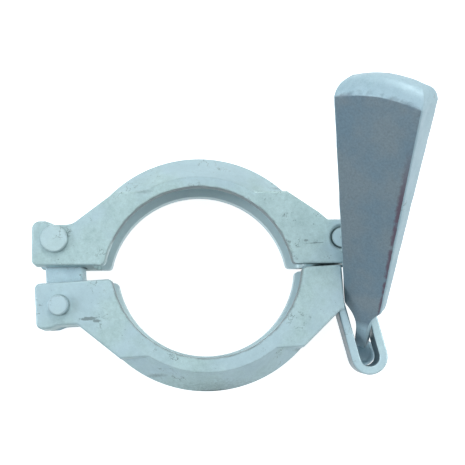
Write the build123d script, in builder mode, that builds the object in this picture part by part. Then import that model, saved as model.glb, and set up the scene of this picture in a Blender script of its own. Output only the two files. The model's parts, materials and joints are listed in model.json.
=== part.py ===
from build123d import *
from math import asin, atan2, cos, degrees, hypot, radians, sin, tan
import os

# Hinged pipe clamp with a wedge lock. It lies on its rear face: the bore axis is +Z, the lower half is
# fixed in the frame, and the origin is on the lower half's bore axis, level with the rear face.

# ---- Driving dimensions, in millimetres and degrees ----
clamp_width = 50.0          # both halves, from the rear face to the front face
lip_radius = 69.0           # the two lips that hold the pipe's collars
lip_thickness = 9.5
groove_radius = 79.0        # the channel between the lips
groove_round = 3.0
crown_radius = 93.5         # the outside of the ring, at the parting line
crown_land = 10.0           # the band along the parting line
crown_round = 5.0
draft = 5.0                 # forging draft of the arms and lugs
facet_slope = 24.0          # slope where the flat arms end on the crown
edge_round = 1.6
split_corner_round = 4.0    # the lugs' corners at the split face
lip_corner_round = 3.2      # where the lips' bore meets the split face

upper_ridge_radius = 75.7   # where the flat front of the upper ring turns down to the crown
upper_split = 12.5          # from the bore axis to the upper split face
upper_arm_top = 65.0        # from the bore axis to the end of the flat arms
upper_hinge_arm_tip = 60.0  # from the bore axis to that end's outer corner, on each side
upper_latch_arm_tip = 64.0
upper_lug_top = 44.2
upper_lug_waist = 41.6
upper_arm_foot = 91.0       # where the sloping arm meets the hinge lug's waist
upper_step_x = 87.0         # the small step between the sloping arm and the latch lug
upper_step_y = 49.4
upper_hinge_reach = 119.0   # from the bore axis to the hinge lug's end
upper_latch_reach = 118.0   # from the bore axis to the latch lug's end
upper_pin_x = 102.8
upper_pin_y = 31.2

lower_ridge_radius = 78.3
lower_split = 7.9
lower_arm_top = 64.6
lower_arm_tip = 65.5
lower_lug_top = 40.2
lower_lug_waist = 38.4
lower_arm_foot = 94.5       # where the sloping arm meets the hinge lug's waist
lower_latch_foot = 93.6     # where the sloping arm meets the latch lug
lower_slot_root = 86.5
lower_hinge_reach = 123.0
lower_latch_reach = 96.4
lower_pin_x = 106.2
lower_pin_y = 24.2

lug_pad = 9.5               # the raised corner of each hinge lug
lug_pad_slope = 5.0
step_length = 6.0
pad_round = 2.0
arm_foot_round = 12.0
lug_corner_round = 5.5
latch_end_round = 10.0
latch_heel_round = 14.0     # lets the wedge pass as the ring swings out

pin_radius = 7.0
pin_countersink = 2.7       # depth and width of the bevel round a riveted pin end
hinge_head_radius = 9.5
hinge_head_height = 3.6
proud_end_height = 6.0      # the lower hinge pin stands out of the front ear
pin_end_bevel = 0.7
latch_pin_depth = 0.4       # its front end, below the front face
centre_mark_radius = 0.7
centre_mark_depth = 1.2

link_thickness = 18.0
link_outer_side = 11.4      # from the pins' line to the face away from the bore
link_inner_side = 15.5      # from the pins' line to the face towards the bore
link_end = 10.0             # past each pin
link_corner_round = 5.0
link_bevel = 1.0

ring_bar = 6.4              # radial thickness of the tension ring
ring_depth = 16.0           # along the bore axis
ring_length = 89.4          # between the centres of its two round ends
ring_edge_round = 1.2

wedge_length = 164.0        # the tapered body, with its striking end
wedge_narrow = 29.0
wedge_wide = 59.0
wedge_thin = 9.5
wedge_thick = 27.0
wedge_crown = 4.0           # the striking end's rise across its width
wedge_dome = 11.0           # the striking end's rise across its thickness
wedge_edge_round = 2.0
wedge_rim_round = 2.0
wedge_corner_round = 6.0
wedge_shoulder = 10.0       # from the body's narrow end to the neck
neck_width = 10.0
neck_thickness = 8.0
neck_round = 2.5
neck_length = 32.0          # from the body's narrow end to the pivot in the ring
neck_bend_start = 5.0       # from the pivot, towards the body
neck_bend_end = 12.0        # from the pivot, towards the button
tail_reach = 19.8           # from the pivot to the middle of the button
button_radius = 8.6         # too wide for the ring, so the wedge stays in it
button_height = 9.0
button_round = 3.5
end_margin = 0.5            # the end's corner rounds start this far outside the body's sides

# ---- Clearances ----
pin_clearance = 0.08        # radial, where a piece turns on a pin
link_clearance = 0.4        # on each side of the link in its slots
ring_clearance = 1.0        # on each side of the ring in its slots
slot_clearance = 1.8        # from the end of a turning piece to the root of its slot

slot_overrun = 10.0         # how far a cutter runs past an open end

# ---- How the pieces lie ----
link_turn = 1.2             # the link, from square to the lower split face
hinge_gap = 12.3            # between the two split faces, at the hinge pins
latch_gap = 1.15            # between the two split faces, at the lower latch lug's end
ring_lean = 11.4            # the ring, from square to the lower split face
wedge_pivot = 77.7          # along the ring, from the latch pin to the wedge's pivot
wedge_pivot_side = 0.0      # across the ring, from its middle to the wedge's pivot
wedge_side_lean = 79.3      # the wedge's heading in the plane of the clamp, from the ring's width
wedge_rest_reach = 62.0     # in that plane, from the pivot to the lug that the wedge leans on
wedge_stand_off = 22.0      # from the front face up to the wedge's middle line there
wedge_roll = 39.0           # the wedge's turn about its own length
tail_drop = 28.0            # the tail, from square to the ring

inner_x = 40.0              # where the arms' blanks end inside the bore

# ---- Worked out from the above ----
lug_span = 2 * upper_lug_top
middle = clamp_width / 2
link_length = upper_pin_y - upper_split + lower_pin_y - lower_split + hinge_gap
link_slot = link_thickness + 2 * link_clearance
ring_slot = ring_depth + 2 * ring_clearance
draft_growth = middle * tan(radians(draft))
turning_bore = pin_radius + pin_clearance
ring_outer = turning_bore + ring_bar
link_corner_reach = link_corner_round + Vector(
    link_inner_side - link_corner_round, link_end - link_corner_round, 0
).length


def turned(x: float, y: float, angle: float) -> Vector:
    """Turn a flat vector about the bore axis."""
    return Vector(x, y, 0).rotate(Axis.Z, angle)


lower_pin = Vector(-lower_pin_x, -lower_pin_y, 0)
upper_pin = lower_pin + turned(0, link_length, link_turn)
span = lower_latch_reach - upper_pin.X
fall = upper_pin.Y + lower_split - latch_gap
upper_turn = degrees(asin((upper_pin_y - upper_split) / hypot(span, fall)) - atan2(fall, span))
upper_centre = upper_pin - turned(-upper_pin_x, upper_pin_y, upper_turn)
latch_pin_at = upper_centre + turned(upper_pin_x, upper_pin_y, upper_turn)
pivot = latch_pin_at + turned(wedge_pivot_side, -wedge_pivot, ring_lean) + Vector(0, 0, middle)

# In each half's own frame the bore axis is Z and the half lies on the +Y side, so its split face
# looks along -Y. The hinge lug is on the -X side of the upper half and the +X side of the lower.
upper_frame = Plane(origin=upper_centre, x_dir=turned(1, 0, upper_turn), z_dir=(0, 0, 1))
lower_frame = Plane(origin=(0, 0, 0), x_dir=(-1, 0, 0), z_dir=(0, 0, 1))
link_frame = Plane(origin=lower_pin, x_dir=turned(1, 0, link_turn), z_dir=(0, 0, 1))
ring_frame = Plane(origin=latch_pin_at, x_dir=turned(1, 0, ring_lean), z_dir=(0, 0, 1))


def lug_block(frame: Plane, outline: list, arm_top: float) -> Part:
    """Forge one flat arm with its lug, drafted from the parting line to both faces.

    The outline is drawn as it is on the front face, each point with the radius of its corner.
    The cross profile slopes the arm's end down to the crown.
    """
    across = Plane(origin=frame.origin, x_dir=frame.y_dir, z_dir=frame.x_dir)
    slope_reach = middle * tan(radians(facet_slope))
    with BuildPart() as block:
        with BuildSketch(frame.offset(middle)) as parting:
            with BuildLine():
                Polyline(*[(x, y) for x, y, corner in outline], close=True)
            make_face()
            for x, y, corner in outline:
                if corner > 0:
                    nearest = parting.vertices().sort_by_distance((x, y))[0]
                    fillet(nearest, corner)
            offset(amount=draft_growth, kind=Kind.INTERSECTION)
        extrude(amount=middle, taper=draft)
        mirror(about=frame.offset(middle))
        with BuildSketch(across):
            with BuildLine():
                Polyline(
                    (0, 0),
                    (arm_top, 0),
                    (arm_top + slope_reach, middle),
                    (arm_top, clamp_width),
                    (0, clamp_width),
                    close=True,
                )
            make_face()
        extrude(amount=2 * crown_radius, both=True, mode=Mode.INTERSECT)
        faces = block.faces().filter_by(Axis.Z)
        rims = faces.edges().filter_by(lambda edge: outside_the_ring(frame, edge))
        fillet(rims, edge_round)
    return block.part


def outside_the_ring(frame: Plane, edge: Edge) -> bool:
    """Tell whether a rim edge of a lug block stays bare, outside the split face and the ring."""
    place = frame.to_local_coords(edge.center())
    return abs(place.X) > inner_x + 1 and place.Y > upper_split + 1


def crown_ring(frame: Plane, ridge_radius: float) -> Part:
    """Forge the whole ring, solid, with a flat front, sloping shoulders and a parting land."""
    radial = Plane(origin=frame.origin, x_dir=frame.x_dir, z_dir=-frame.y_dir)
    with BuildPart() as ring:
        with BuildSketch(radial) as section:
            with BuildLine():
                Polyline(
                    (0, 0),
                    (ridge_radius, 0),
                    (crown_radius, middle - crown_land / 2),
                    (crown_radius, middle + crown_land / 2),
                    (ridge_radius, clamp_width),
                    (0, clamp_width),
                    close=True,
                )
            make_face()
            fillet(section.vertices().group_by(Axis(frame.origin, frame.x_dir))[-1], crown_round)
        revolve(axis=Axis(frame.origin, frame.z_dir))
    return ring.part


def bore_and_groove(frame: Plane) -> Part:
    """The space inside the lips, with the channel that holds the pipe's collars."""
    radial = Plane(origin=frame.origin, x_dir=frame.x_dir, z_dir=-frame.y_dir)
    with BuildPart() as space:
        with BuildSketch(frame):
            Circle(lip_radius)
        extrude(amount=clamp_width)
        with BuildSketch(radial) as channel:
            with Locations((groove_radius / 2, middle)):
                Rectangle(groove_radius, clamp_width - 2 * lip_thickness)
            fillet(channel.vertices().group_by(Axis(frame.origin, frame.x_dir))[-1], groove_round)
        revolve(axis=Axis(frame.origin, frame.z_dir))
    return space.part


def half_blank(frame: Plane, blocks: list, ridge_radius: float, split_height: float) -> Part:
    """Join a ring and its two lug blocks, then machine the bore and the split face."""
    split_face = Plane(
        origin=frame.from_local_coords((0, split_height, 0)), x_dir=frame.x_dir, z_dir=frame.y_dir
    )
    corner_x = (lip_radius**2 - split_height**2) ** 0.5
    corners = [frame.from_local_coords((side * corner_x, split_height)) for side in (-1, 1)]
    with BuildPart() as blank:
        add(crown_ring(frame, ridge_radius))
        for block in blocks:
            add(block)
        add(bore_and_groove(frame), mode=Mode.SUBTRACT)
        split(bisect_by=split_face, keep=Keep.TOP)
        upright = blank.edges().filter_by(Axis.Z)
        fillet(upright.filter_by(lambda edge: stands_at(edge, corners)), lip_corner_round)
    return blank.part


def stands_at(edge: Edge, corners: list) -> bool:
    """Tell whether an upright edge stands over one of the given places."""
    foot = edge.center()
    return any(hypot(foot.X - corner.X, foot.Y - corner.Y) < 0.1 for corner in corners)


def slot_cutter(frame: Plane, start_x: float, end_x: float, width: float) -> Part:
    """The space sawn between two ears, from the slot's root to past the lug's end."""
    with BuildPart() as cutter:
        with BuildSketch(frame.offset(middle - width / 2)):
            with Locations(((start_x + end_x) / 2, lug_span / 2)):
                Rectangle(abs(end_x - start_x), lug_span)
        extrude(amount=width)
    return cutter.part


def bevel_cone(frame: Plane, x: float, y: float, face_height: float, outward: int) -> Part:
    """A cone that widens from the pin's radius at its bevel's bottom to the bevel's at a face."""
    with BuildPart() as cone:
        with BuildSketch(frame.offset(face_height - outward * pin_countersink)):
            with Locations((x, y)):
                Circle(pin_radius)
        with BuildSketch(frame.offset(face_height)):
            with Locations((x, y)):
                Circle(pin_radius + pin_countersink)
        loft()
    return cone.part


def pin_hole_cutter(frame: Plane, x: float, y: float, riveted_faces: list) -> Part:
    """A pin's hole through both ears, bevelled at each face where the pin's end is riveted."""
    with BuildPart() as cutter:
        with BuildSketch(frame):
            with Locations((x, y)):
                Circle(pin_radius)
        extrude(amount=clamp_width)
        for face_height, outward in riveted_faces:
            add(bevel_cone(frame, x, y, face_height, outward))
    return cutter.part


rear_end = (0, -1)
front_end = (clamp_width, 1)


# ---- The two halves ----
upper_hinge_outline = [
    (-inner_x, upper_split, 0),
    (-inner_x, upper_arm_top, 0),
    (-upper_hinge_arm_tip, upper_arm_top, 0),
    (-upper_arm_foot, upper_lug_waist, arm_foot_round),
    (-upper_hinge_reach + lug_pad + lug_pad_slope, upper_lug_waist, pad_round),
    (-upper_hinge_reach + lug_pad, upper_lug_top, pad_round),
    (-upper_hinge_reach, upper_lug_top, lug_corner_round),
    (-upper_hinge_reach, upper_split, split_corner_round),
]
upper_latch_outline = [
    (inner_x, upper_split, 0),
    (inner_x, upper_arm_top, 0),
    (upper_latch_arm_tip, upper_arm_top, 0),
    (upper_step_x, upper_step_y, pad_round),
    (upper_step_x + step_length, upper_lug_top, pad_round),
    (upper_latch_reach, upper_lug_top, latch_end_round),
    (upper_latch_reach, upper_split, latch_heel_round),
]
lower_hinge_outline = [
    (inner_x, lower_split, 0),
    (inner_x, lower_arm_top, 0),
    (lower_arm_tip, lower_arm_top, 0),
    (lower_arm_foot, lower_lug_waist, pad_round),
    (lower_hinge_reach - lug_pad - lug_pad_slope, lower_lug_waist, pad_round),
    (lower_hinge_reach - lug_pad, lower_lug_top, pad_round),
    (lower_hinge_reach, lower_lug_top, split_corner_round),
    (lower_hinge_reach, lower_split, split_corner_round),
]
lower_latch_outline = [
    (-inner_x, lower_split, 0),
    (-inner_x, lower_arm_top, 0),
    (-lower_arm_tip, lower_arm_top, 0),
    (-lower_latch_foot, lower_lug_top, 0),
    (-lower_latch_reach, lower_lug_top, pad_round),
    (-lower_latch_reach, lower_split, pad_round),
]

upper_blocks = [
    lug_block(upper_frame, upper_hinge_outline, upper_arm_top),
    lug_block(upper_frame, upper_latch_outline, upper_arm_top),
]
lower_blocks = [
    lug_block(lower_frame, lower_hinge_outline, lower_arm_top),
    lug_block(lower_frame, lower_latch_outline, lower_arm_top),
]

with BuildPart() as upper_half:
    add(half_blank(upper_frame, upper_blocks, upper_ridge_radius, upper_split))
    hinge_root = upper_pin_x - link_corner_reach - slot_clearance
    latch_root = upper_pin_x - ring_outer - slot_clearance
    cutters = [
        slot_cutter(upper_frame, -hinge_root, -upper_hinge_reach - slot_overrun, link_slot),
        slot_cutter(upper_frame, latch_root, upper_latch_reach + slot_overrun, ring_slot),
        pin_hole_cutter(upper_frame, -upper_pin_x, upper_pin_y, [rear_end]),
        pin_hole_cutter(upper_frame, upper_pin_x, upper_pin_y, [rear_end, front_end]),
    ]
    for cutter in cutters:
        add(cutter, mode=Mode.SUBTRACT)
upper_half.part.label = "upper_half"

with BuildPart() as lower_half:
    add(half_blank(lower_frame, lower_blocks, lower_ridge_radius, lower_split))
    hinge_root = lower_pin_x - link_corner_reach - slot_clearance
    cutters = [
        slot_cutter(lower_frame, hinge_root, lower_hinge_reach + slot_overrun, link_slot),
        slot_cutter(lower_frame, -lower_slot_root, -lower_latch_reach - slot_overrun, ring_slot),
        pin_hole_cutter(lower_frame, lower_pin_x, lower_pin_y, [rear_end]),
    ]
    for cutter in cutters:
        add(cutter, mode=Mode.SUBTRACT)
lower_half.part.label = "lower_half"

# ---- The hinge link ----
with BuildPart() as hinge_link:
    with BuildSketch(link_frame.offset(middle - link_thickness / 2)) as link_outline:
        with Locations(((link_inner_side - link_outer_side) / 2, link_length / 2)):
            RectangleRounded(
                link_inner_side + link_outer_side, link_length + 2 * link_end, link_corner_round
            )
    extrude(amount=link_thickness)
    rims = hinge_link.faces().filter_by(Axis.Z).edges()
    chamfer(rims, link_bevel)
    with BuildSketch(link_frame):
        with Locations((0, 0), (0, link_length)):
            Circle(turning_bore)
    extrude(amount=clamp_width, mode=Mode.SUBTRACT)
hinge_link.part.label = "hinge_link"


def pin_stem(place: Vector, top: float) -> Part:
    """A round pin from the rear face up, with its rear end riveted out into its bevel."""
    stem_frame = Plane(origin=place)
    with BuildPart() as stem:
        with BuildSketch(stem_frame):
            Circle(pin_radius)
        extrude(amount=top)
        add(bevel_cone(stem_frame, 0, 0, *rear_end))
    return stem.part


# ---- The three pins ----
with BuildPart() as lower_hinge_pin:
    add(pin_stem(lower_pin, clamp_width + proud_end_height))
    chamfer(lower_hinge_pin.faces().sort_by(Axis.Z)[-1].edges(), pin_end_bevel)
lower_hinge_pin.part.label = "lower_hinge_pin"

with BuildPart() as upper_hinge_pin:
    add(pin_stem(upper_pin, clamp_width))
    with BuildSketch(Plane(origin=upper_pin).offset(clamp_width)):
        Circle(hinge_head_radius)
    extrude(amount=hinge_head_height)
    chamfer(upper_hinge_pin.faces().sort_by(Axis.Z)[-1].edges(), pin_end_bevel)
upper_hinge_pin.part.label = "upper_hinge_pin"

with BuildPart() as latch_pin:
    add(pin_stem(latch_pin_at, clamp_width - latch_pin_depth))
    with BuildSketch(Plane(origin=latch_pin_at).offset(clamp_width - latch_pin_depth)):
        Circle(centre_mark_radius)
    extrude(amount=-centre_mark_depth, mode=Mode.SUBTRACT)
latch_pin.part.label = "latch_pin"

# ---- The tension ring ----
with BuildPart() as tension_ring:
    with BuildSketch(ring_frame.offset(middle - ring_depth / 2)):
        with Locations((0, -ring_length / 2)):
            SlotCenterToCenter(ring_length, 2 * ring_outer, rotation=90)
            SlotCenterToCenter(ring_length, 2 * turning_bore, rotation=90, mode=Mode.SUBTRACT)
    extrude(amount=ring_depth)
    fillet(tension_ring.faces().filter_by(Axis.Z).edges(), ring_edge_round)
tension_ring.part.label = "tension_ring"

# ---- The locking wedge ----
heading = radians(ring_lean + wedge_side_lean)
rise = atan2(middle + wedge_stand_off, wedge_rest_reach)
roll = radians(wedge_roll)
wedge_axis = Vector(cos(heading) * cos(rise), sin(heading) * cos(rise), sin(rise))
level = Vector(sin(heading), -cos(heading), 0)
steep = level.cross(wedge_axis)
wedge_frame = Plane(
    origin=pivot, x_dir=level * cos(roll) + steep * sin(roll), z_dir=wedge_axis
)
tail_axis = turned(0, -sin(radians(tail_drop)), ring_lean) - Vector(0, 0, cos(radians(tail_drop)))
tail_frame = Plane(origin=pivot, x_dir=turned(1, 0, ring_lean), z_dir=tail_axis)
body_end = neck_length + wedge_length
shoulder_start = neck_length - wedge_shoulder


def struck_end() -> Part:
    """The space under the striking end: its face is domed across and crowned along its width."""
    crown_arm = (wedge_wide**2 / 4 + wedge_crown**2) / (2 * wedge_crown)
    half_thick = wedge_thick / 2 + end_margin
    half_wide = wedge_wide / 2 + end_margin
    with BuildPart() as space:
        with BuildSketch(Plane.YZ) as profile:
            with BuildLine():
                Polyline(
                    (-half_thick, body_end - wedge_dome),
                    (-half_thick, body_end - crown_arm),
                    (half_thick, body_end - crown_arm),
                    (half_thick, body_end - wedge_dome),
                )
                ThreePointArc(
                    (half_thick, body_end - wedge_dome),
                    (0, body_end),
                    (-half_thick, body_end - wedge_dome),
                )
            make_face()
            fillet(profile.vertices().group_by(Axis.Z)[-1], wedge_rim_round)
        revolve(axis=Axis((0, 0, body_end - crown_arm), (0, 1, 0)))
        with Locations((0, 0, body_end / 4)):
            Box(2 * half_wide, 2 * half_thick, body_end / 2)
        with BuildSketch(Plane.XZ) as outline:
            with Locations((0, body_end / 2)):
                Rectangle(2 * half_wide, body_end + 2 * end_margin)
            fillet(outline.vertices().group_by(Axis.Z)[-1], wedge_corner_round)
        extrude(amount=half_thick, both=True, mode=Mode.INTERSECT)
    return space.part


def wedge_body() -> Part:
    """The wedge with its straight neck, upright, with its pivot at the origin."""
    with BuildPart() as body:
        with BuildSketch(Plane.XY.offset(neck_bend_start)):
            RectangleRounded(neck_width, neck_thickness, neck_round)
        with BuildSketch(Plane.XY.offset(shoulder_start)):
            RectangleRounded(neck_width, neck_thickness, neck_round)
        with BuildSketch(Plane.XY.offset(neck_length)):
            RectangleRounded(wedge_narrow, wedge_thin, wedge_edge_round)
        with BuildSketch(Plane.XY.offset(body_end)):
            RectangleRounded(wedge_wide, wedge_thick, wedge_edge_round)
        loft(ruled=True)
        add(struck_end(), mode=Mode.INTERSECT)
    return body.part


with BuildPart() as locking_wedge:
    add(wedge_body().moved(wedge_frame.location))
    with BuildSketch(wedge_frame.offset(neck_bend_start)) as neck_section:
        RectangleRounded(neck_width, neck_thickness, neck_round)
    with BuildSketch(tail_frame.offset(neck_bend_end)) as tail_section:
        Circle(neck_thickness / 2)
    loft(sections=[neck_section.sketch, tail_section.sketch])
    with BuildSketch(tail_frame.offset(tail_reach - button_height / 2)):
        Circle(button_radius)
    extrude(amount=button_height)
    button_rims = locking_wedge.edges().filter_by(GeomType.CIRCLE).sort_by(SortBy.RADIUS)
    fillet(button_rims.filter_by(lambda edge: edge.radius > button_radius - 0.01), button_round)
locking_wedge.part.label = "locking_wedge"

os.makedirs("parts", exist_ok=True)
for piece in (
    upper_half,
    lower_half,
    hinge_link,
    lower_hinge_pin,
    upper_hinge_pin,
    latch_pin,
    tension_ring,
    locking_wedge,
):
    export_step(piece.part, f"parts/{piece.part.label}.step")
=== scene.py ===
"""The looks of a forged, zinc-plated pipe clamp that hinges open and is locked by a wedge."""

import json
import logging
import math
from collections.abc import Callable
from dataclasses import dataclass, replace
from enum import Enum
from functools import cached_property

import bpy
from mathutils import Matrix, Vector


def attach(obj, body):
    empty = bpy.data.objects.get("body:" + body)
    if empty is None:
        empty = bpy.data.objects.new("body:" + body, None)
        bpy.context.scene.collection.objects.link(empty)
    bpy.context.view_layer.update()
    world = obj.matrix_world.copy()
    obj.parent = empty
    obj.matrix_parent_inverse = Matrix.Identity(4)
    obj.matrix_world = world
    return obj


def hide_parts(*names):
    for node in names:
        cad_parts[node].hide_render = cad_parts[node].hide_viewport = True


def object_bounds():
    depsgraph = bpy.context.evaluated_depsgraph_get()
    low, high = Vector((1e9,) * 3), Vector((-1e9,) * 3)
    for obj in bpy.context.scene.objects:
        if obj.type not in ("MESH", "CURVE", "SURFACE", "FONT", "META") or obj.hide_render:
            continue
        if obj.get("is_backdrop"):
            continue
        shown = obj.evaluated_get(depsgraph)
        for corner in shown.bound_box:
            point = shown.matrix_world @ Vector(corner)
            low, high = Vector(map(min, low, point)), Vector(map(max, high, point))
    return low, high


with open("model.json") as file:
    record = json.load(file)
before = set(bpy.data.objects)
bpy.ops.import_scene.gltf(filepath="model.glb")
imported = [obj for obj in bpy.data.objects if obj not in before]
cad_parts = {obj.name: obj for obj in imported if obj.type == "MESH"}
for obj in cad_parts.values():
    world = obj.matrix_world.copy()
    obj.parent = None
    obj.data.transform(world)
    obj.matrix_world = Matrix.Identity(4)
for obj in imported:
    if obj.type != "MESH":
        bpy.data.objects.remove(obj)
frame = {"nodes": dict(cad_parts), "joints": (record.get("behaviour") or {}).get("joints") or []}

MM = 0.001
LOG = logging.getLogger("clamp")

Socket = bpy.types.NodeSocket
Triple = tuple[float, float, float]

# Nearly all of a noise's values lie between these two.
NOISE_LOW, NOISE_HIGH = 0.3, 0.7
NOISE_ROUGHNESS = 0.6

# How many finer layers a noise has.
SMOOTH, PLAIN, FINE, FINEST = 2.0, 3.0, 4.0, 5.0

# How many rays tell how open a place is.
OPENNESS_RAYS = 8

# The colour inputs and the colour output of a Mix node, by number, since their names repeat.
UNDER, OVER, MIXED = 6, 7, 2

# A face looks up or down when this much of its normal does.
LOOKS = 0.8


class Body(Enum):
    """The clamp's moving bodies, by the names that the frame gives them."""

    LOWER = "lower"
    LINK = "link"
    UPPER = "upper"
    RING = "ring"
    WEDGE = "wedge"


class Element(Enum):
    """What edit mode selects, by Blender's names."""

    VERTEX = "VERT"
    EDGE = "EDGE"
    FACE = "FACE"


class Sum(Enum):
    """The sums that a Math node does, by Blender's names."""

    ADD = "ADD"
    TAKE = "SUBTRACT"
    TIMES = "MULTIPLY"
    TIMES_ADD = "MULTIPLY_ADD"
    PER = "DIVIDE"
    SIZE = "ABSOLUTE"
    LESS = "LESS_THAN"
    MOST = "MAXIMUM"


def linear(hex_colour: str) -> tuple[float, float, float, float]:
    """Turn an sRGB hex colour into the linear values that a shader takes.

    Args:
        hex_colour: Six hex digits after a hash sign.

    Returns:
        Linear red, green, blue and an alpha of 1.
    """
    channels = [int(hex_colour[i : i + 2], 16) / 255 for i in (1, 3, 5)]
    light = [c / 12.92 if c <= 0.04045 else ((c + 0.055) / 1.055) ** 2.4 for c in channels]
    return (*light, 1.0)


def per_metre(size_mm: float) -> float:
    """Give the pattern scale at which one feature is this many millimetres across."""
    return 1 / (size_mm * MM)


@dataclass(frozen=True)
class Ramp:
    """A change from low to high, while the value that is read goes from start to end."""

    start: float
    end: float
    low: float = 0.0
    high: float = 1.0


@dataclass(frozen=True)
class Pattern:
    """A noise with features of one size, and the ramp that its values go through."""

    size_mm: float
    ramp: Ramp
    detail: float = PLAIN


@dataclass
class Graph:
    """The nodes of one material or world, with short ways to add the usual ones."""

    tree: bpy.types.NodeTree

    @cached_property
    def place(self) -> Socket:
        """Give the place on the piece, in metres, which every pattern reads."""
        return self.add("ShaderNodeTexCoord").outputs["Object"]

    @cached_property
    def normal(self) -> Socket:
        """Give the direction in which the surface looks."""
        return self.add("ShaderNodeTexCoord").outputs["Normal"]

    def add(self, kind: str, inputs: dict | None = None, **settings) -> bpy.types.Node:
        """Add one node, set its properties and feed its inputs.

        Args:
            kind: Blender's name for the node's type.
            inputs: What each input gets, by its name or number: a socket or a plain value.
            settings: The node's properties, by name.

        Returns:
            The new node.
        """
        node = self.tree.nodes.new(kind)
        for name, value in settings.items():
            setattr(node, name, value)
        for target, source in (inputs or {}).items():
            if isinstance(source, Socket):
                self.tree.links.new(source, node.inputs[target])
            else:
                node.inputs[target].default_value = source
        return node

    def noise(self, size_mm: float, detail: float = PLAIN) -> Socket:
        """Add a noise whose features are this many millimetres across."""
        inputs = {"Scale": per_metre(size_mm), "Detail": detail, "Roughness": NOISE_ROUGHNESS}
        return self.add("ShaderNodeTexNoise", {"Vector": self.place, **inputs}).outputs["Fac"]

    def remap(self, value: Socket, ramp: Ramp) -> Socket:
        """Send a value through a ramp.

        Args:
            value: The value that the ramp reads.
            ramp: The ramp.

        Returns:
            The value that the ramp gives.
        """
        inputs = {
            "Value": value,
            "From Min": ramp.start, "From Max": ramp.end,
            "To Min": ramp.low, "To Max": ramp.high,
        }
        return self.add("ShaderNodeMapRange", inputs).outputs["Result"]

    def pattern(self, pattern: Pattern) -> Socket:
        """Add a pattern, and give its value after the ramp."""
        return self.remap(self.noise(pattern.size_mm, pattern.detail), pattern.ramp)

    def sum(self, operation: Sum, *terms: Socket | float) -> Socket:
        """Do one sum on sockets and plain numbers."""
        inputs = dict(enumerate(terms))
        return self.add("ShaderNodeMath", inputs, operation=operation.value).outputs[0]

    def times(self, product: Socket, *terms: Socket | float) -> Socket:
        """Multiply a socket by every other term in turn.

        Args:
            product: The first factor.
            terms: The other factors, as sockets or plain numbers.

        Returns:
            The product.
        """
        for term in terms:
            product = self.sum(Sum.TIMES, product, term)
        return product

    def vector(self, operation: str, *terms: Socket | Triple | Vector) -> bpy.types.Node:
        """Do one sum on vectors, and give its node."""
        return self.add("ShaderNodeVectorMath", dict(enumerate(terms)), operation=operation)

    def scaled(self, colour: Socket, factor: Socket) -> Socket:
        """Make a colour brighter or darker by a factor."""
        inputs = {0: colour, "Scale": factor}
        return self.add("ShaderNodeVectorMath", inputs, operation="SCALE").outputs[0]

    def mix(self, share: Socket, under: Socket | str, over: Socket | str) -> Socket:
        """Lay one colour over another.

        Args:
            share: How much of the upper colour shows.
            under: The lower colour, as a socket or in hex.
            over: The upper colour, as a socket or in hex.

        Returns:
            The mixed colour.
        """
        under, over = (linear(c) if isinstance(c, str) else c for c in (under, over))
        inputs = {"Factor": share, UNDER: under, OVER: over}
        return self.add("ShaderNodeMix", inputs, data_type="RGBA").outputs[MIXED]

    def openness(self, reach_mm: float, inside: bool = False) -> Socket:
        """Tell how little stands near a place or, from inside, how far it is from an edge."""
        return self.add("ShaderNodeAmbientOcclusion", {"Distance": reach_mm * MM},
                        samples=OPENNESS_RAYS, inside=inside).outputs["AO"]


@dataclass(frozen=True)
class DarkSpot:
    """One dark spot on the plate, longer one way, with a ragged edge. Some are marks of handling
    and some are painted shade.

    Its place, its half sizes and the size of its rags are in millimetres. It ends where a noise
    and the distance from its middle, in half sizes, add up to border, and it fades over the last
    soft before that.
    """

    place: Triple
    size: Triple
    depth: float = 0.6
    soft: float = 0.25
    border: float = 1.4
    ragged_mm: float = 1.6

    def mask(self, graph: Graph) -> Socket:
        """Mask the mark, with a ragged edge.

        Args:
            graph: The material's nodes.

        Returns:
            The mask, from 0 outside the mark to its depth in the middle.
        """
        centred = graph.add("ShaderNodeMapping", {
            "Vector": graph.place,
            "Location": [c * MM for c in self.place],
            "Scale": [c * MM for c in self.size],
        }, vector_type="TEXTURE")
        far = graph.vector("LENGTH", centred.outputs[0]).outputs["Value"]
        ragged = graph.sum(Sum.ADD, far, graph.noise(self.ragged_mm))
        return graph.remap(ragged, Ramp(self.border - self.soft, self.border, self.depth, 0.0))


@dataclass(frozen=True)
class BoreShadingBand:
    """A band round the bore, painted a colour that stands in for the light and shade that fall
    there.

    It lies within a radius of the pipe's axis and between two heights, all in millimetres, and
    it leaves out what the inward ramp says looks away from the axis.
    """

    colour: str
    radius: float
    low: float
    high: float
    depth: float
    soft: float = 0.5
    inward: Ramp = Ramp(0.3, 0.1)

    def mask(self, graph: Graph) -> Socket:
        """Mask the band.

        Args:
            graph: The material's nodes.

        Returns:
            The mask, from 0 outside the band to its depth inside.
        """
        soft = self.soft
        from_axis = graph.vector("MULTIPLY", graph.place, (1.0, 1.0, 0.0)).outputs[0]
        far = graph.vector("LENGTH", from_axis).outputs["Value"]
        height = graph.add("ShaderNodeSeparateXYZ", {0: graph.place}).outputs["Z"]
        near = graph.remap(far, Ramp((self.radius + soft) * MM, (self.radius - soft) * MM))
        above = graph.remap(height, Ramp((self.low - soft) * MM, (self.low + soft) * MM))
        below = graph.remap(height, Ramp((self.high + soft) * MM, (self.high - soft) * MM))
        outward = graph.vector("NORMALIZE", from_axis).outputs[0]
        facing = graph.vector("DOT_PRODUCT", graph.normal, outward).outputs["Value"]
        return graph.times(above, below, near, graph.remap(facing, self.inward), self.depth)


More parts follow.
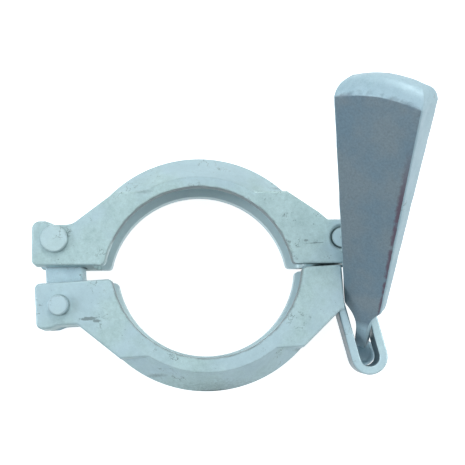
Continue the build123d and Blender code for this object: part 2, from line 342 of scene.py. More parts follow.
@dataclass(frozen=True)
class Wear:
    """What handling and grime do to all the plate alike, and the painted shade in its closed
    corners and along its edges.

    A scratch runs where a noise is near its middle value. Edges and corners are found by how open
    a place is, within a reach.
    """

    scratch_mm: float = 11.0
    scratch_middle: float = 0.5
    scratch_line: Ramp = Ramp(0.012, 0.004)
    scratched: Pattern = Pattern(17.0, Ramp(0.56, 0.64))
    scratch_depth: float = 0.8
    # Edges are darkened by wear and by painted shade.
    edge_reach_mm: float = 1.3
    edge_wear_and_shade: Ramp = Ramp(0.5, 0.95, 0.8, 0.0)
    edge_patches: Pattern = Pattern(6.0, Ramp(0.35, 0.6), FINE)
    # Painted shade in closed corners.
    corner_reach_mm: float = 3.5
    corner_shade: Ramp = Ramp(0.25, 0.75, 0.75, 0.0)

    def scratches(self, graph: Graph) -> Socket:
        """Mask a few hair-thin wandering scratches.

        Args:
            graph: The material's nodes.

        Returns:
            The mask.
        """
        wander = graph.sum(Sum.TAKE, graph.noise(self.scratch_mm, FINE), self.scratch_middle)
        line = graph.remap(graph.sum(Sum.SIZE, wander), self.scratch_line)
        return graph.times(line, graph.pattern(self.scratched), self.scratch_depth)

    def worn_and_shaded_edges(self, graph: Graph) -> Socket:
        """Mask the outer edges, darkened by wear and by painted shade, here more and there less."""
        near = graph.remap(graph.openness(self.edge_reach_mm, inside=True), self.edge_wear_and_shade)
        return graph.times(near, graph.pattern(self.edge_patches))

    def shaded_corners(self, graph: Graph) -> Socket:
        """Mask the closed corners, for painted shade where they shut out the light."""
        return graph.remap(graph.openness(self.corner_reach_mm), self.corner_shade)


@dataclass(frozen=True)
class Taper:
    """The outline of the wedge's body, in millimetres along the wedge's own axes.

    It widens from its foot up to its shoulder, and its foot sits a little to the left.
    """

    foot: float
    shoulder: float
    narrow: float
    wide: float
    foot_shift: float

    @property
    def length(self) -> float:
        """Give the height from the foot to the shoulder."""
        return self.shoulder - self.foot


@dataclass(frozen=True)
class ShadeFilm:
    """Painted shade on a wedge's broad faces, laid on as a dull, darker film, with a rubbed line
    along one edge.

    Its taper and axes are the wedge's. The film fades out between the two distances of reach_down
    below the foot, and the line fades in between the two of line_top below the shoulder, all in
    millimetres. The broad ramp takes how squarely a face looks through the wedge, and the line's
    two ramps take places across the taper.
    """

    cool: str
    warm: str
    rub: str
    taper: Taper | None = None
    axes: Matrix | None = None
    cover: float = 0.96
    hues: Pattern = Pattern(26.0, Ramp(0.4, 0.62))
    grain: Pattern = Pattern(1.3, Ramp(NOISE_LOW, NOISE_HIGH, 0.84, 1.16), FINEST)
    ragged: float = 0.16
    border_mm: float = 4.0
    broad: Ramp = Ramp(0.955, 1.03)
    reach_down: tuple[float, float] = (18.0, 12.0)
    line_mm: float = 3.0
    line_inner: Ramp = Ramp(0.87, 0.96)
    line_outer: Ramp = Ramp(1.02, 0.97)
    line_top: tuple[float, float] = (20.0, 60.0)
    line_patches: Pattern = Pattern(9.0, Ramp(0.36, 0.5), FINE)

    def lay(self, graph: Graph, bright: Socket) -> Socket:
        """Lay the painted shade film and the rubbed line over the plate.

        Args:
            graph: The material's nodes.
            bright: The colour of the plate without the film.

        Returns:
            The colour with the film.
        """
        own = graph.add("ShaderNodeMapping", {
            "Vector": graph.place,
            "Location": self.axes.to_translation(),
            "Rotation": self.axes.to_euler(),
        }, vector_type="TEXTURE")
        part = graph.add("ShaderNodeSeparateXYZ", {0: own.outputs[0]})
        share = self.width_share(graph, part.outputs["X"], part.outputs["Z"])
        hue = graph.mix(graph.pattern(self.hues), self.cool, self.warm)
        dull_shade = graph.scaled(hue, graph.pattern(self.grain))
        shaded_faces = self.shaded_faces(graph, part.outputs["Z"])
        shade_filmed = graph.mix(graph.times(shaded_faces, self.cover), bright, dull_shade)
        line = self.rubbed_line(graph, share, part.outputs["Z"])
        return graph.mix(graph.times(line, shaded_faces), shade_filmed, self.rub)

    def width_share(self, graph: Graph, across: Socket, along: Socket) -> Socket:
        """Tell where a place lies across the taper.

        Args:
            graph: The material's nodes.
            across: The distance across the wedge from its own axis.
            along: The distance along the wedge from its pivot.

        Returns:
            -1 at one edge, 0 in the middle and 1 at the other edge.
        """
        taper = self.taper
        swell = (taper.wide - taper.narrow) / 2 / taper.length
        half = graph.sum(Sum.TIMES_ADD, along, swell, (taper.narrow / 2 - swell * taper.foot) * MM)
        lean = taper.foot_shift / taper.length
        middle = graph.sum(Sum.TIMES_ADD, along, -lean, lean * taper.shoulder * MM)
        return graph.sum(Sum.PER, graph.sum(Sum.ADD, across, middle), half)

    def shaded_faces(self, graph: Graph, along: Socket) -> Socket:
        """Mask the two broad faces, down to the neck, for the painted shade, with a ragged border.

        Args:
            graph: The material's nodes.
            along: The distance along the wedge from its pivot.

        Returns:
            The mask.
        """
        through = self.axes.to_3x3() @ Vector((0, 1, 0))
        facing = graph.vector("DOT_PRODUCT", graph.normal, through).outputs["Value"]
        either = graph.sum(Sum.SIZE, facing)
        worn = graph.sum(Sum.TIMES_ADD, graph.noise(self.border_mm, FINEST), self.ragged, either)
        low, high = ((self.taper.foot - drop) * MM for drop in self.reach_down)
        return graph.times(graph.remap(worn, self.broad), graph.remap(along, Ramp(low, high)))

    def rubbed_line(self, graph: Graph, share: Socket, along: Socket) -> Socket:
        """Mask a patchy line beside one edge, which fades towards the struck end.

        Args:
            graph: The material's nodes.
            share: The place across the taper.
            along: The distance along the wedge from its pivot.

        Returns:
            The mask.
        """
        ragged = graph.sum(Sum.TIMES_ADD, graph.noise(self.line_mm, FINE), self.ragged, share)
        inner = graph.remap(ragged, self.line_inner)
        outer = graph.remap(share, self.line_outer)
        top, full = ((self.taper.shoulder - drop) * MM for drop in self.line_top)
        low = graph.remap(along, Ramp(top, full))
        return graph.times(inner, outer, low, graph.pattern(self.line_patches))


@dataclass(frozen=True)
class ZincPlate:
    """Electroplated zinc on steel, passivated: matt, pale and slightly green-blue.

    The plate follows the steel under it, so forged faces show scale pits and soft waves, and
    drawn bar shows almost none. The passivation varies between tone and shade in blotches about a
    finger wide, and turns to tint over wider areas. The grime_and_shade colour is that of pits,
    wear, marks and the painted shade. Bands of painted light and shade round the bore, painted
    shade on standing walls, a painted shade film and dark spots are there only for the pieces that
    need them.
    """

    name: str
    tone: str
    shade: str
    tint: str = "#A9C2CF"
    grime_and_shade: str = "#5F6F70"
    blotch_mm: float = 16.0
    cloud_mm: float = 3.2
    clouds: Ramp = Ramp(0.55, 1.45)
    pit_mm: float = 2.4
    pit_reach: float = 0.22
    pit_depth: float = 0.55
    pitted_mm: float = 9.0
    pitted: Ramp = Ramp(0.54, 0.66)
    specks: Pattern = Pattern(0.8, Ramp(NOISE_LOW, NOISE_HIGH, 0.93, 1.05), FINE)
    tinted: Pattern = Pattern(55.0, Ramp(0.44, 0.6))
    tint_depth: float = 0.55
    wear: Wear = Wear()
    wave_mm: float = 7.0
    wave_depth_mm: float = 0.4
    grain_mm: float = 0.7
    grain_depth_mm: float = 0.08
    roughness: float = 0.5
    roughness_swing: float = 0.07
    gloss_mm: float = 5.0
    metallic: float = 0.3
    # Bands of painted light and painted shade round the bore.
    bore_shading_bands: tuple[BoreShadingBand, ...] = ()
    # Painted shade on walls that stand up from the flat side, and how upright they must be.
    wall_shade: str = ""
    wall_shade_tilt: Ramp = Ramp(0.35, 0.75, 0.85, 0.0)
    # Painted shade on broad faces, laid on as a film with a rubbed line.
    shade_film: ShadeFilm | None = None
    # Dark spots: marks of handling, and painted shade in the bends and under the lower crown.
    dark_spots: tuple[DarkSpot, ...] = ()

    def make(self) -> bpy.types.Material:
        """Build the material.

        Returns:
            The finished material.
        """
        material = bpy.data.materials.new(self.name)
        material.use_nodes = True
        graph = Graph(material.node_tree)
        shader = graph.tree.nodes["Principled BSDF"]
        for name, socket in (
            ("Base Color", self.worn_and_shaded_colour(graph)),
            ("Normal", self.relief(graph)),
            ("Roughness", self.gloss(graph)),
        ):
            graph.tree.links.new(socket, shader.inputs[name])
        shader.inputs["Metallic"].default_value = self.metallic
        return material

    def worn_and_shaded_colour(self, graph: Graph) -> Socket:
        """Colour the plate, and lay on it what wear, grime and handling add, with painted light and
        painted shade.

        Args:
            graph: The material's nodes.

        Returns:
            The colour.
        """
        both = graph.sum(Sum.ADD, graph.noise(self.blotch_mm), graph.noise(self.cloud_mm))
        colour = graph.mix(graph.remap(both, self.clouds), self.shade, self.tone)
        colour = graph.mix(self.pits(graph), colour, self.grime_and_shade)
        colour = graph.scaled(colour, graph.pattern(self.specks))
        tinted = graph.times(graph.pattern(self.tinted), self.tint_depth)
        colour = graph.mix(tinted, colour, self.tint)
        colour = graph.mix(self.wear.scratches(graph), colour, self.grime_and_shade)
        # Edges darkened by wear and by painted shade.
        colour = graph.mix(self.wear.worn_and_shaded_edges(graph), colour, self.grime_and_shade)
        # Painted light and painted shade in bands round the bore.
        for band in self.bore_shading_bands:
            colour = graph.mix(band.mask(graph), colour, band.colour)
        # Painted shade in the closed corners.
        colour = graph.mix(self.wear.shaded_corners(graph), colour, self.grime_and_shade)
        # Painted shade on standing walls.
        if self.wall_shade:
            colour = graph.mix(self.shaded_walls(graph), colour, self.wall_shade)
        # Painted shade on the wedge's broad faces, laid on as a film.
        if self.shade_film:
            colour = self.shade_film.lay(graph, colour)
        # Dark spots: marks of handling, and painted shade in the bends and under the lower crown.
        for spot in self.dark_spots:
            colour = graph.mix(spot.mask(graph), colour, self.grime_and_shade)
        return colour

    def pits(self, graph: Graph) -> Socket:
        """Mask the small pits that forging scale left, in some places only.

        Args:
            graph: The material's nodes.

        Returns:
            The mask.
        """
        inputs = {"Vector": graph.place, "Scale": per_metre(self.pit_mm), "Randomness": 1.0}
        far = graph.add("ShaderNodeTexVoronoi", inputs).outputs["Distance"]
        reach = graph.remap(graph.noise(self.pitted_mm), replace(self.pitted, high=self.pit_reach))
        return graph.times(graph.sum(Sum.LESS, far, reach), self.pit_depth)

    def shaded_walls(self, graph: Graph) -> Socket:
        """Mask the walls that stand up from the piece's flat side, for painted shade."""
        upright = graph.add("ShaderNodeSeparateXYZ", {0: graph.normal}).outputs["Z"]
        return graph.remap(graph.sum(Sum.SIZE, upright), self.wall_shade_tilt)

    def relief(self, graph: Graph) -> Socket:
        """Give the plate the forging's soft waves and its own fine grain.

        Args:
            graph: The material's nodes.

        Returns:
            The normal.
        """
        wave = graph.add("ShaderNodeBump", {
            "Height": graph.noise(self.wave_mm, SMOOTH), "Distance": self.wave_depth_mm * MM,
        })
        grain = graph.add("ShaderNodeBump", {
            "Height": graph.noise(self.grain_mm, FINE), "Normal": wave.outputs[0],
            "Distance": self.grain_depth_mm * MM,
        })
        return grain.outputs[0]

    def gloss(self, graph: Graph) -> Socket:
        """Vary the roughness a little round its usual value."""
        limits = self.roughness - self.roughness_swing, self.roughness + self.roughness_swing
        return graph.remap(graph.noise(self.gloss_mm), Ramp(NOISE_LOW, NOISE_HIGH, *limits))


# Plate on the rough forged halves: pale green-grey, cloudy and softly wavy, so that broad faces
# never look flat. Scale pits and rubs read as years of handling. The groove is brightened with
# painted light, the front lip's bore wall carries a painted shade line, and the bends and the
# underside of the lower crown carry painted shade.
FORGED = ZincPlate(
    "zinc_on_forging",
    tone="#B3CDD0",
    shade="#95B0B2",
    bore_shading_bands=(
        # Painted light: the groove and the far lip's front face, which the front lip shades, made
        # brighter.
        BoreShadingBand("#CFE1E5", radius=80.5, low=-10.0, high=44.0, depth=0.9),
        # Painted shade: a dark line on the front lip's bore wall.
        BoreShadingBand("#506469", radius=69.6, low=40.0, high=49.4, depth=0.85),
    ),
    dark_spots=(
        # Scuffs beside the lower hinge pin.
        DarkSpot((-86.0, -35.0, 50.0), (7.5, 1.6, 9.0), depth=0.75),
        DarkSpot((-80.5, -37.0, 50.0), (3.5, 1.4, 9.0), depth=0.7),
        # Rubs on the face of the upper crown.
        DarkSpot((4.5, 71.5, 50.0), (3.0, 1.4, 9.0), depth=0.8),
        DarkSpot((27.0, 70.5, 50.0), (1.2, 1.6, 9.0), depth=0.8),
        DarkSpot((28.0, 63.0, 50.0), (1.1, 1.5, 9.0), depth=0.7),
        # Rubs beside the latch.
        DarkSpot((72.0, 11.0, 50.0), (2.0, 1.1, 9.0), depth=0.6),
        DarkSpot((79.0, 8.8, 50.0), (8.0, 0.5, 9.0), depth=0.6),
        # Painted shade under the lower crown, which faces down, and a thin dark line along its
        # bottom rim.
        DarkSpot((5.0, -94.0, 25.0), (45.0, 12.0, 60.0), depth=0.55, soft=0.9),
        DarkSpot((-2.0, -93.6, 25.0), (24.0, 1.8, 20.0), depth=0.8),
        # Painted shade in the four bends between the crowns and the shoulders.
        DarkSpot((-42.0, -79.0, 42.0), (11.0, 2.2, 30.0), depth=0.55, soft=0.7),
        DarkSpot((67.0, -67.5, 42.0), (11.0, 2.2, 30.0), depth=0.55, soft=0.7),
        DarkSpot((-43.0, 53.5, 42.0), (12.0, 2.0, 30.0), depth=0.45, soft=0.7),
        DarkSpot((57.0, 53.5, 42.0), (9.0, 1.7, 30.0), depth=0.45, soft=0.7),
    ),
)

# Plate on the hinge link: cleaner and paler than on the halves, so the link stands out between
# their lugs.
FORGED_LINK = ZincPlate("zinc_on_link", tone="#CFE8F0", shade="#BAD6DE", wave_depth_mm=0.12,
                        pit_reach=0.1)

# Plate on turned pins: even and a little shinier, so the riveted heads read as separate pieces.
TURNED_PIN = ZincPlate("zinc_on_pin", tone="#B6CED2", shade="#A5BEC2", wave_depth_mm=0.08,
                       pit_reach=0.08, roughness=0.45, metallic=0.35)

# Plate on drawn bar: smooth and the most metallic, so the ring's rounds catch a line of light.
# Its standing walls carry painted shade.
DRAWN_BAR = ZincPlate("zinc_on_bar", tone="#BCD6DB", shade="#A2BFC6", wave_depth_mm=0.05,
                      grain_depth_mm=0.03, pit_reach=0.05, roughness=0.36, metallic=0.5,
                      wall_shade="#5C6C74")

# Plate on the driven wedge: bright sides and end round broad faces that carry painted shade, laid
# on as a dull blue-grey film, with a plum-brown line where one edge was rubbed. The contrast is
# what makes the wedge stand out.
HAMMERED = ZincPlate("zinc_on_wedge", tone="#AAC5D0", shade="#95B3C0", blotch_mm=24.0,
                     shade_film=ShadeFilm(cool="#6A8291", warm="#76868F", rub="#5D5261"),
                     wave_depth_mm=0.18, pit_reach=0.1, metallic=0.2)


@dataclass
class PlatedPart:
    """One CAD node that keeps its shape and gets its plate."""

    node: str
    body: Body
    finish: ZincPlate

    def dress(self) -> None:
        """Put the finish on every material slot of the node, made once for all that share it."""
        piece = frame["nodes"][self.node]
        material = bpy.data.materials.get(self.finish.name) or self.finish.make()
        for slot in piece.material_slots:
            slot.material = material
        LOG.info("%s on %s: %s", self.node, self.body.value, self.finish.name)


def pick(piece: bpy.types.Object, element: Element, wanted: Callable[..., bool]) -> None:
    """Go into edit mode with only some of a piece's vertices, edges or faces selected.

    Args:
        piece: The piece, which is the active object.
        element: What is selected.
        wanted: Told a vertex's place, the places of an edge's two ends, or a face's normal.
    """
    bpy.ops.object.mode_set(mode="EDIT")
    bpy.ops.mesh.select_mode(type=element.value)
    bpy.ops.mesh.select_all(action="DESELECT")
    bpy.ops.object.mode_set(mode="OBJECT")
    mesh = piece.data
    if element is Element.VERTEX:
        for vertex in mesh.vertices:
            vertex.select = wanted(vertex.co)
    elif element is Element.EDGE:
        for edge in mesh.edges:
            edge.select = wanted(*[mesh.vertices[i].co for i in edge.vertices])
    else:
        for face in mesh.polygons:
            face.select = wanted(face.normal)
    bpy.ops.object.mode_set(mode="EDIT")


def push_out(along: Vector, widen: Triple) -> None:
    """Extrude the selected faces by a step and scale the new end about its own middle."""
    bpy.ops.mesh.extrude_region_move(TRANSFORM_OT_translate={"value": along})
    bpy.ops.transform.resize(value=widen)


def cut(place: Vector, normal: Vector) -> None:
    """Cut new edges right round the active piece where a plane crosses it.

    Args:
        place: A place on the plane.
        normal: The plane's normal.
    """
    bpy.ops.object.mode_set(mode="EDIT")
    bpy.ops.mesh.select_all(action="SELECT")
    bpy.ops.mesh.bisect(plane_co=place, plane_no=normal)
    bpy.ops.object.mode_set(mode="OBJECT")


@dataclass
class LockingWedge:
    """The driven wedge: a flat taper with a struck, pillowed end, a neck and a keeping button.

    Its heading and rise say which way it points, and its roll how it is turned about that line.
    The tail's lean and the ring's lean say which way the neck and the button hang in the ring.
    Sizes are in millimetres, and heights are measured from the wedge's pivot in the ring.
    width_cuts, crown_shares and near_share are shares of the wedge's full width, dome_rings are
    shares of the dome's turn, and rim_skin is a share of the half width or half thickness.
    """

    finish: ZincPlate
    heading_deg: float = 90.7
    rise_deg: float = 37.17
    roll_deg: float = 39.0
    tail_lean_deg: float = 28.0
    ring_lean_deg: float = 11.4
    taper: Taper = Taper(foot=32.0, shoulder=185.5, narrow=28.8, wide=56.6, foot_shift=1.2)
    thin: float = 9.5
    thick: float = 25.6
    edge_round: float = 1.7
    edge_segments: int = 3
    width_cuts: tuple[float, ...] = (-0.3, 0.0, 0.3)
    foot_cut: float = 1.0
    shoulder_cut: float = 0.8
    crown: float = 4.2
    crown_shares: tuple[float, ...] = (0.3, 0.0)
    crown_band: float = 1.2
    near_share: float = 0.02
    dome: float = 11.0
    dome_start_deg: float = 64.0
    dome_rings: tuple[float, ...] = (0.82, 0.62, 0.42, 0.2)
    end_corner: float = 9.0
    rim_crease: float = 0.75
    rim_skin: float = 0.93
    rim_below: float = 0.5
    rim_above: float = 0.2
    rim_step: float = 2.5
    neck: tuple[float, float] = (9.4, 7.4)
    neck_shift: float = 0.6
    neck_top: float = 22.0
    neck_bend: float = 5.0
    neck_end: float = 1.0
    neck_narrowing: float = 0.95
    button_reach: float = 19.3
    button_radius: float = 11.1
    button_height: float = 9.0
    button_round: float = 4.2
    button_sides: int = 32
    button_segments: int = 5
    smoothing: int = 3
    wave_size: float = 14.0
    wave_height: float = 0.7

    def place(self) -> Matrix:
        """Find where the wedge lies: through its pivot, and leaning back over the upper half.

        Returns:
            The wedge's own axes: x across its width, y through it and z along it.
        """
        pivot = Vector(next(j for j in frame["joints"] if j["child"] == Body.WEDGE.value)["pos_m"])
        heading, rise = math.radians(self.heading_deg), math.radians(self.rise_deg)
        roll = math.radians(self.roll_deg)
        ahead = math.cos(heading) * math.cos(rise), math.sin(heading) * math.cos(rise)
        along = Vector((*ahead, math.sin(rise)))
        level = Vector((math.sin(heading), -math.cos(heading), 0))
        across = level * math.cos(roll) + level.cross(along) * math.sin(roll)
        through = along.cross(across)
        return Matrix.Translation(pivot) @ Matrix((across, through, along)).transposed().to_4x4()

    def tail(self) -> Vector:
        """Find which way the neck and the button hang inside the ring.

        Returns:
            The direction from the pivot to the button, along the wedge's own axes.
        """
        lean, drop = math.radians(self.ring_lean_deg), math.radians(self.tail_lean_deg)
        ahead = math.sin(lean) * math.sin(drop), -math.cos(lean) * math.sin(drop)
        return self.place().to_3x3().inverted() @ Vector((*ahead, -math.cos(drop)))

    def forge_body(self) -> bpy.types.Object:
        """Shape the tapered body with its struck end and its neck.

        Returns:
            The body, along its own axes, in metres.
        """
        taper = self.taper
        length = taper.length * MM
        bpy.ops.object.select_all(action="DESELECT")
        bpy.ops.mesh.primitive_cube_add(size=1, location=(0, 0, taper.foot * MM + length / 2),
                                        scale=(taper.wide * MM, self.thick * MM, length))
        body = bpy.context.active_object
        bpy.ops.object.transform_apply(location=True, rotation=True, scale=True)
        pick(body, Element.FACE, lambda normal: normal.z < -LOOKS)
        bpy.ops.transform.resize(value=(taper.narrow / taper.wide, self.thin / self.thick, 1))
        bpy.ops.transform.translate(value=(-taper.foot_shift * MM, 0, 0))
        pick(body, Element.EDGE, lambda a, b: abs(a.z - b.z) > length / 2)
        bpy.ops.mesh.bevel(offset=self.edge_round * MM, segments=self.edge_segments, affect="EDGES")
        bpy.ops.object.mode_set(mode="OBJECT")
        for share in self.width_cuts:
            cut(Vector((share * taper.wide * MM, 0, 0)), Vector((1, 0, 0)))
        middle = (taper.foot + taper.shoulder) / 2
        for height in (taper.foot + self.foot_cut, middle, taper.shoulder - self.shoulder_cut):
            cut(Vector((0, 0, height * MM)), Vector((0, 0, 1)))
        self.crown_end(body)
        self.pillow_end(body)
        self.crease_rim(body)
        self.draw_neck(body)
        return body

    def crown_end(self, body: bpy.types.Object) -> None:
        """Lift the end's middle, so that it is crowned along its width in a flat arch.

        Args:
            body: The body.
        """
        low = (self.taper.shoulder - self.crown_band) * MM
        wide, near = self.taper.wide * MM, self.near_share * self.taper.wide * MM
        for share in self.crown_shares:
            pick(body, Element.VERTEX, lambda co, out=share * wide: (
                co.z > low and abs(abs(co.x) - out) < near))
            bpy.ops.transform.translate(value=(0, 0, self.crown * (1 - (2 * share) ** 2) * MM))

    def pillow_end(self, body: bpy.types.Object) -> None:
        """Build the end up in rings to its rounded top.

        Args:
            body: The body.
        """
        pick(body, Element.FACE, lambda normal: normal.z > LOOKS)
        half_x, half_y = self.taper.wide / 2, self.thick / 2
        last_x, last_y, last_z = half_x, half_y, 0.0
        start = math.radians(self.dome_start_deg)
        for share in self.dome_rings:
            turn = start * share
            ring_x = half_x - self.end_corner * (1 - share) ** 2
            ring_y = half_y * math.sin(turn) / math.sin(start)
            ring_z = self.dome * (math.cos(turn) - math.cos(start)) / (1 - math.cos(start))
            push_out(Vector((0, 0, (ring_z - last_z) * MM)), (ring_x / last_x, ring_y / last_y, 1))
            last_x, last_y, last_z = ring_x, ring_y, ring_z

    def crease_rim(self, body: bpy.types.Object) -> None:
        """Crease the edges where the sides meet the end, so that they stay crisp.

        Args:
            body: The body.
        """
        low = (self.taper.shoulder - self.rim_below) * MM
        high = (self.taper.shoulder + self.crown + self.rim_above) * MM
        skin_x = self.rim_skin * self.taper.wide / 2 * MM
        skin_y = self.rim_skin * self.thick / 2 * MM
        step = self.rim_step * MM

        def on_rim(end: Vector) -> bool:
            """Tell whether an edge's end lies on the rim."""
            return low < end.z < high and (abs(end.y) > skin_y or abs(end.x) > skin_x)

        pick(body, Element.EDGE, lambda a, b: (
            on_rim(a) and on_rim(b) and abs(a.z - b.z) < step and abs(a.y - b.y) < step))
        bpy.ops.transform.edge_crease(value=self.rim_crease)
        bpy.ops.object.mode_set(mode="OBJECT")

    def draw_neck(self, body: bpy.types.Object) -> None:
        """Draw the narrow end down to the neck, and bend the neck towards the button.

        Args:
            body: The body.
        """
        pick(body, Element.FACE, lambda normal: normal.z < -LOOKS)
        shrink = (self.neck[0] / self.taper.narrow, self.neck[1] / self.thin, 1)
        shift = self.taper.foot_shift - self.neck_shift
        push_out(Vector((shift, 0, self.neck_top - self.taper.foot)) * MM, shrink)
        push_out(Vector((0, 0, (self.neck_bend - self.neck_top) * MM)), (1, 1, 1))
        for reach in (self.button_reach - self.neck_bend, self.neck_end):
            push_out(self.tail() * (reach * MM), (self.neck_narrowing, self.neck_narrowing, 1))
        bpy.ops.object.mode_set(mode="OBJECT")

    def turn_button(self) -> bpy.types.Object:
        """Turn the round button that is too wide to pass through the ring.

        Returns:
            The button, along the wedge's own axes, in metres.
        """
        bpy.ops.object.select_all(action="DESELECT")
        tail = self.tail()
        bpy.ops.mesh.primitive_cylinder_add(
            vertices=self.button_sides,
            radius=self.button_radius * MM,
            depth=self.button_height * MM,
            location=tail * self.button_reach * MM,
            rotation=tail.to_track_quat("Z", "Y").to_euler(),
        )
        button = bpy.context.active_object
        bpy.ops.object.transform_apply(location=True, rotation=True, scale=True)
        level = self.button_height / 2 * MM
        pick(button, Element.EDGE, lambda a, b: abs((a - b).dot(tail)) < level)
        bpy.ops.mesh.bevel(
            offset=self.button_round * MM, segments=self.button_segments, affect="EDGES")
        bpy.ops.object.mode_set(mode="OBJECT")
        return button

    def smooth_and_join(self, body: bpy.types.Object, button: bpy.types.Object) -> None:
        """Smooth the body, join the button to it and make the whole slightly uneven.

        Args:
            body: The body, which is left selected and active.
            button: The button, which is used up.
        """
        smooth = body.modifiers.new("smooth", "SUBSURF")
        smooth.levels = smooth.render_levels = self.smoothing
        union = body.modifiers.new("button", "BOOLEAN")
        union.operation, union.object, union.solver = "UNION", button, "EXACT"
        waves = bpy.data.textures.new("forging_waves", "CLOUDS")
        waves.noise_scale = self.wave_size * MM
        uneven = body.modifiers.new("uneven", "DISPLACE")
        uneven.texture, uneven.strength = waves, self.wave_height * MM
        for modifier in ("smooth", "button", "uneven"):
            bpy.ops.object.modifier_apply(modifier=modifier)
        bpy.data.objects.remove(button)

    def make(self) -> bpy.types.Object:
        """Make the whole wedge, put it in its place and give it its finish.

        Returns:
            The finished piece.
        """
        button = self.turn_button()
        body = self.forge_body()
        self.smooth_and_join(body, button)
        body.matrix_world = self.place()
        bpy.ops.object.transform_apply(location=True, rotation=True, scale=True)
        bpy.ops.object.shade_smooth()
        body.name = "struck_wedge"
        # The wedge's painted shade film follows the wedge's own taper and axes.
        shade_film = replace(self.finish.shade_film, taper=self.taper, axes=self.place())
        body.data.materials.append(replace(self.finish, shade_film=shade_film).make())
        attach(body, Body.WEDGE.value)
        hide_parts("locking_wedge")
        LOG.info("struck_wedge on %s: %s", Body.WEDGE.value, self.finish.name)
        return body


@dataclass
class Clamp:
    """The whole clamp: two half rings, the hinge, and the lock."""

    parts: tuple[PlatedPart, ...] = (
        PlatedPart("upper_half", Body.UPPER, FORGED),
        PlatedPart("lower_half", Body.LOWER, FORGED),
        PlatedPart("hinge_link", Body.LINK, FORGED_LINK),
        PlatedPart("lower_hinge_pin", Body.LOWER, TURNED_PIN),
        PlatedPart("upper_hinge_pin", Body.UPPER, TURNED_PIN),
        PlatedPart("latch_pin", Body.UPPER, TURNED_PIN),
        PlatedPart("tension_ring", Body.RING, DRAWN_BAR),
    )

    def dress(self) -> None:
        """Finish every node, and put the modelled wedge in the place of its CAD one."""
        for part in self.parts:
            part.dress()
        LockingWedge(HAMMERED).make()


@dataclass(frozen=True)
class Lamp:
    """One soft square lamp: its place and side in metres, and its power in watts."""

    name: str
    place: Triple
    side: float
    power: float
    colour: str

    def hang(self, aim: Vector) -> None:
        """Hang the lamp and point it at the aim.

        Args:
            aim: The place that it lights.
        """
        bpy.ops.object.light_add(type="AREA", location=self.place)
        lamp = bpy.context.active_object
        lamp.name = self.name
        lamp.rotation_euler = (Vector(self.place) - aim).to_track_quat("Z", "Y").to_euler()
        lamp.data.size = self.side
        lamp.data.energy = self.power
        lamp.data.color = linear(self.colour)[:3]


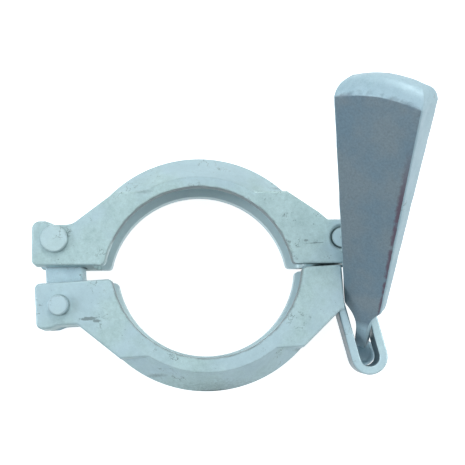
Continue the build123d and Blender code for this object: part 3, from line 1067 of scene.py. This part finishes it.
@dataclass
class Studio:
    """The plain floor, the lights and the camera."""

    floor_side: float = 6.0
    floor_drop: float = 0.0003
    floor_paint: str = "#D2D6D8"
    floor_glow: float = 0.82
    camera_place_mm: Triple = (-8.84, -48.19, 536.39)
    camera_turn_deg: Triple = (3.986, -1.481, -3.745)
    lens_mm: float = 52.97
    shift: tuple[float, float] = (0.0344, 0.1075)
    near: float = 0.01
    surround: str = "#DDE6EA"
    surround_strength: float = 0.45
    lamps: tuple[Lamp, ...] = (
        Lamp("key", (0.15, 1.1, 0.9), side=0.5, power=8.0, colour="#FFFDF8"),
        Lamp("left", (-1.15, 0.05, 0.75), side=0.5, power=7.0, colour="#F4FAFF"),
        Lamp("right", (1.15, -0.1, 0.75), side=0.5, power=5.5, colour="#FFFDF8"),
        Lamp("fill", (0.0, 0.1, 1.5), side=0.8, power=2.0, colour="#EAF4FF"),
    )

    def seen_directly(self, graph: Graph) -> Socket:
        """Tell whether a ray comes from the camera, a reflection or a clear material.

        Args:
            graph: The nodes of the world or the floor.

        Returns:
            1 for such a ray, and 0 for one that only carries light.
        """
        path = graph.add("ShaderNodeLightPath").outputs
        shiny = graph.sum(Sum.MOST, path["Is Glossy Ray"], path["Is Transmission Ray"])
        return graph.sum(Sum.MOST, path["Is Camera Ray"], shiny)

    def build_surround(self) -> None:
        """Light the scene evenly and faintly, and show white where nothing stands."""
        world = bpy.data.worlds.new("surround")
        bpy.context.scene.world = world
        world.use_nodes = True
        graph = Graph(world.node_tree)
        graph.tree.nodes.clear()
        faint = {"Color": linear(self.surround), "Strength": self.surround_strength}
        soft = graph.add("ShaderNodeBackground", faint)
        white = graph.add("ShaderNodeBackground", {"Color": linear("#FFFFFF"), "Strength": 1.0})
        mix = graph.add("ShaderNodeMixShader", {
            0: self.seen_directly(graph), 1: soft.outputs[0], 2: white.outputs[0],
        })
        graph.add("ShaderNodeOutputWorld", {"Surface": mix.outputs[0]})

    def build_floor(self) -> None:
        """Lay a matt white floor that glows, so it looks endless but still takes a shadow."""
        bpy.ops.object.select_all(action="DESELECT")
        bpy.ops.mesh.primitive_plane_add(size=self.floor_side, location=(0, 0, -self.floor_drop))
        floor = bpy.context.active_object
        floor.name = "floor"
        bpy.ops.object.transform_apply(location=True)
        material = bpy.data.materials.new("white_floor")
        material.use_nodes = True
        graph = Graph(material.node_tree)
        graph.tree.nodes.clear()
        paint = graph.add("ShaderNodeBsdfDiffuse", {"Color": linear(self.floor_paint)})
        level = self.floor_glow
        glow = graph.add("ShaderNodeEmission", {
            "Strength": self.seen_directly(graph), "Color": (level, level, level, 1),
        })
        both = graph.add("ShaderNodeAddShader", {0: paint.outputs[0], 1: glow.outputs[0]})
        graph.add("ShaderNodeOutputMaterial", {"Surface": both.outputs[0]})
        floor.data.materials.append(material)
        floor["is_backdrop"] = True

    def build_lamps(self) -> None:
        """Hang the soft lamps, each pointed at the clamp's middle."""
        low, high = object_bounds()
        for lamp in self.lamps:
            lamp.hang((low + high) / 2)

    def build_camera(self) -> None:
        """Stand the camera over the clamp, leaning a little."""
        bpy.ops.object.camera_add(
            location=[c * MM for c in self.camera_place_mm],
            rotation=[math.radians(a) for a in self.camera_turn_deg],
        )
        camera = bpy.context.active_object
        camera.data.lens = self.lens_mm
        camera.data.shift_x, camera.data.shift_y = self.shift
        camera.data.clip_start = self.near
        bpy.context.scene.camera = camera

    def build(self) -> None:
        """Set up everything round the clamp."""
        bpy.context.scene.view_settings.view_transform = "Standard"
        self.build_surround()
        self.build_camera()
        self.build_floor()
        self.build_lamps()


def main() -> None:
    """Build the studio and the clamp's looks."""
    logging.basicConfig(level=logging.INFO)
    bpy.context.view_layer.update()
    bpy.ops.object.select_all(action="DESELECT")
    Studio().build()
    Clamp().dress()


if __name__ == "__main__":
    main()
